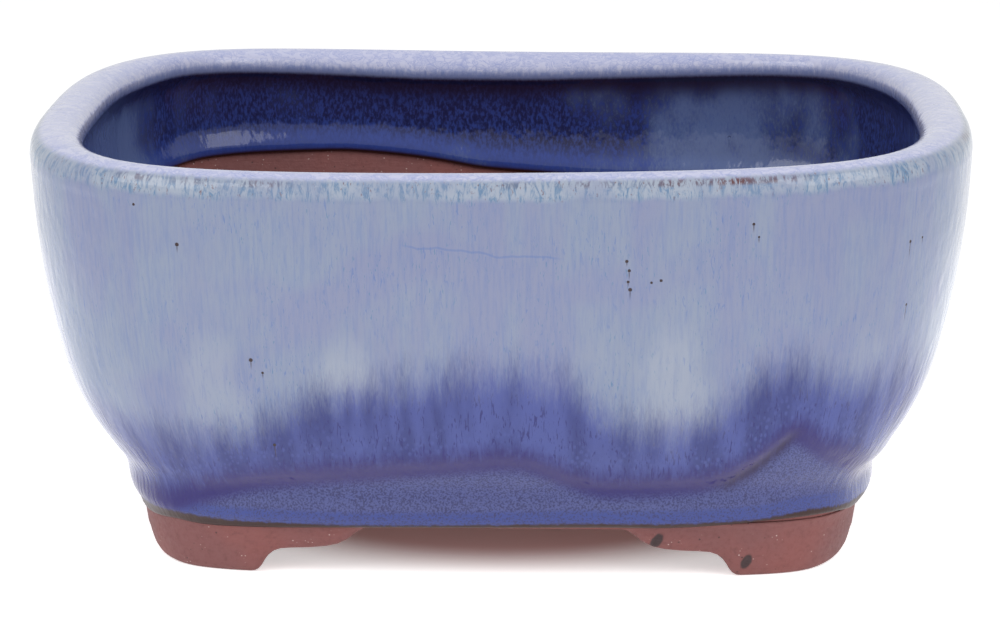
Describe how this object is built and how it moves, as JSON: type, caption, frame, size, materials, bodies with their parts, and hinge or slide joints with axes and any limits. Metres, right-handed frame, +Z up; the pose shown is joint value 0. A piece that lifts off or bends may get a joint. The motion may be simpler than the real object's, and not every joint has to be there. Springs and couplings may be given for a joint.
{
  "type": "bonsai pot",
  "caption": "Rounded rectangular bonsai pot with curved blue-glazed walls, a rolled lip, a moulded bead above the base, drainage holes and unglazed cloud-cut corner feet.",
  "frame": {"origin": "on the resting plane under the four feet, at the middle of the pot's plan", "axes": "+X along the long side, -Y towards the front face, +Z up out of the mouth"},
  "size_m": [0.2, 0.169, 0.0907],
  "materials": {
    "bare_clay": "matte, unglazed fired stoneware",
    "blue_glaze": "gloss glaze, pale blue running to cobalt"
  },
  "bodies": {
    "root": {"base_slab": "bare_clay", "wall_shell": "bare_clay", "lip_coil": "bare_clay", "foot_front_left": "bare_clay", "foot_front_right": "bare_clay", "foot_back_left": "bare_clay", "foot_back_right": "bare_clay", "outer_glaze": "blue_glaze", "lip_glaze": "blue_glaze", "inner_glaze": "blue_glaze"}
  },
  "joints": []
}
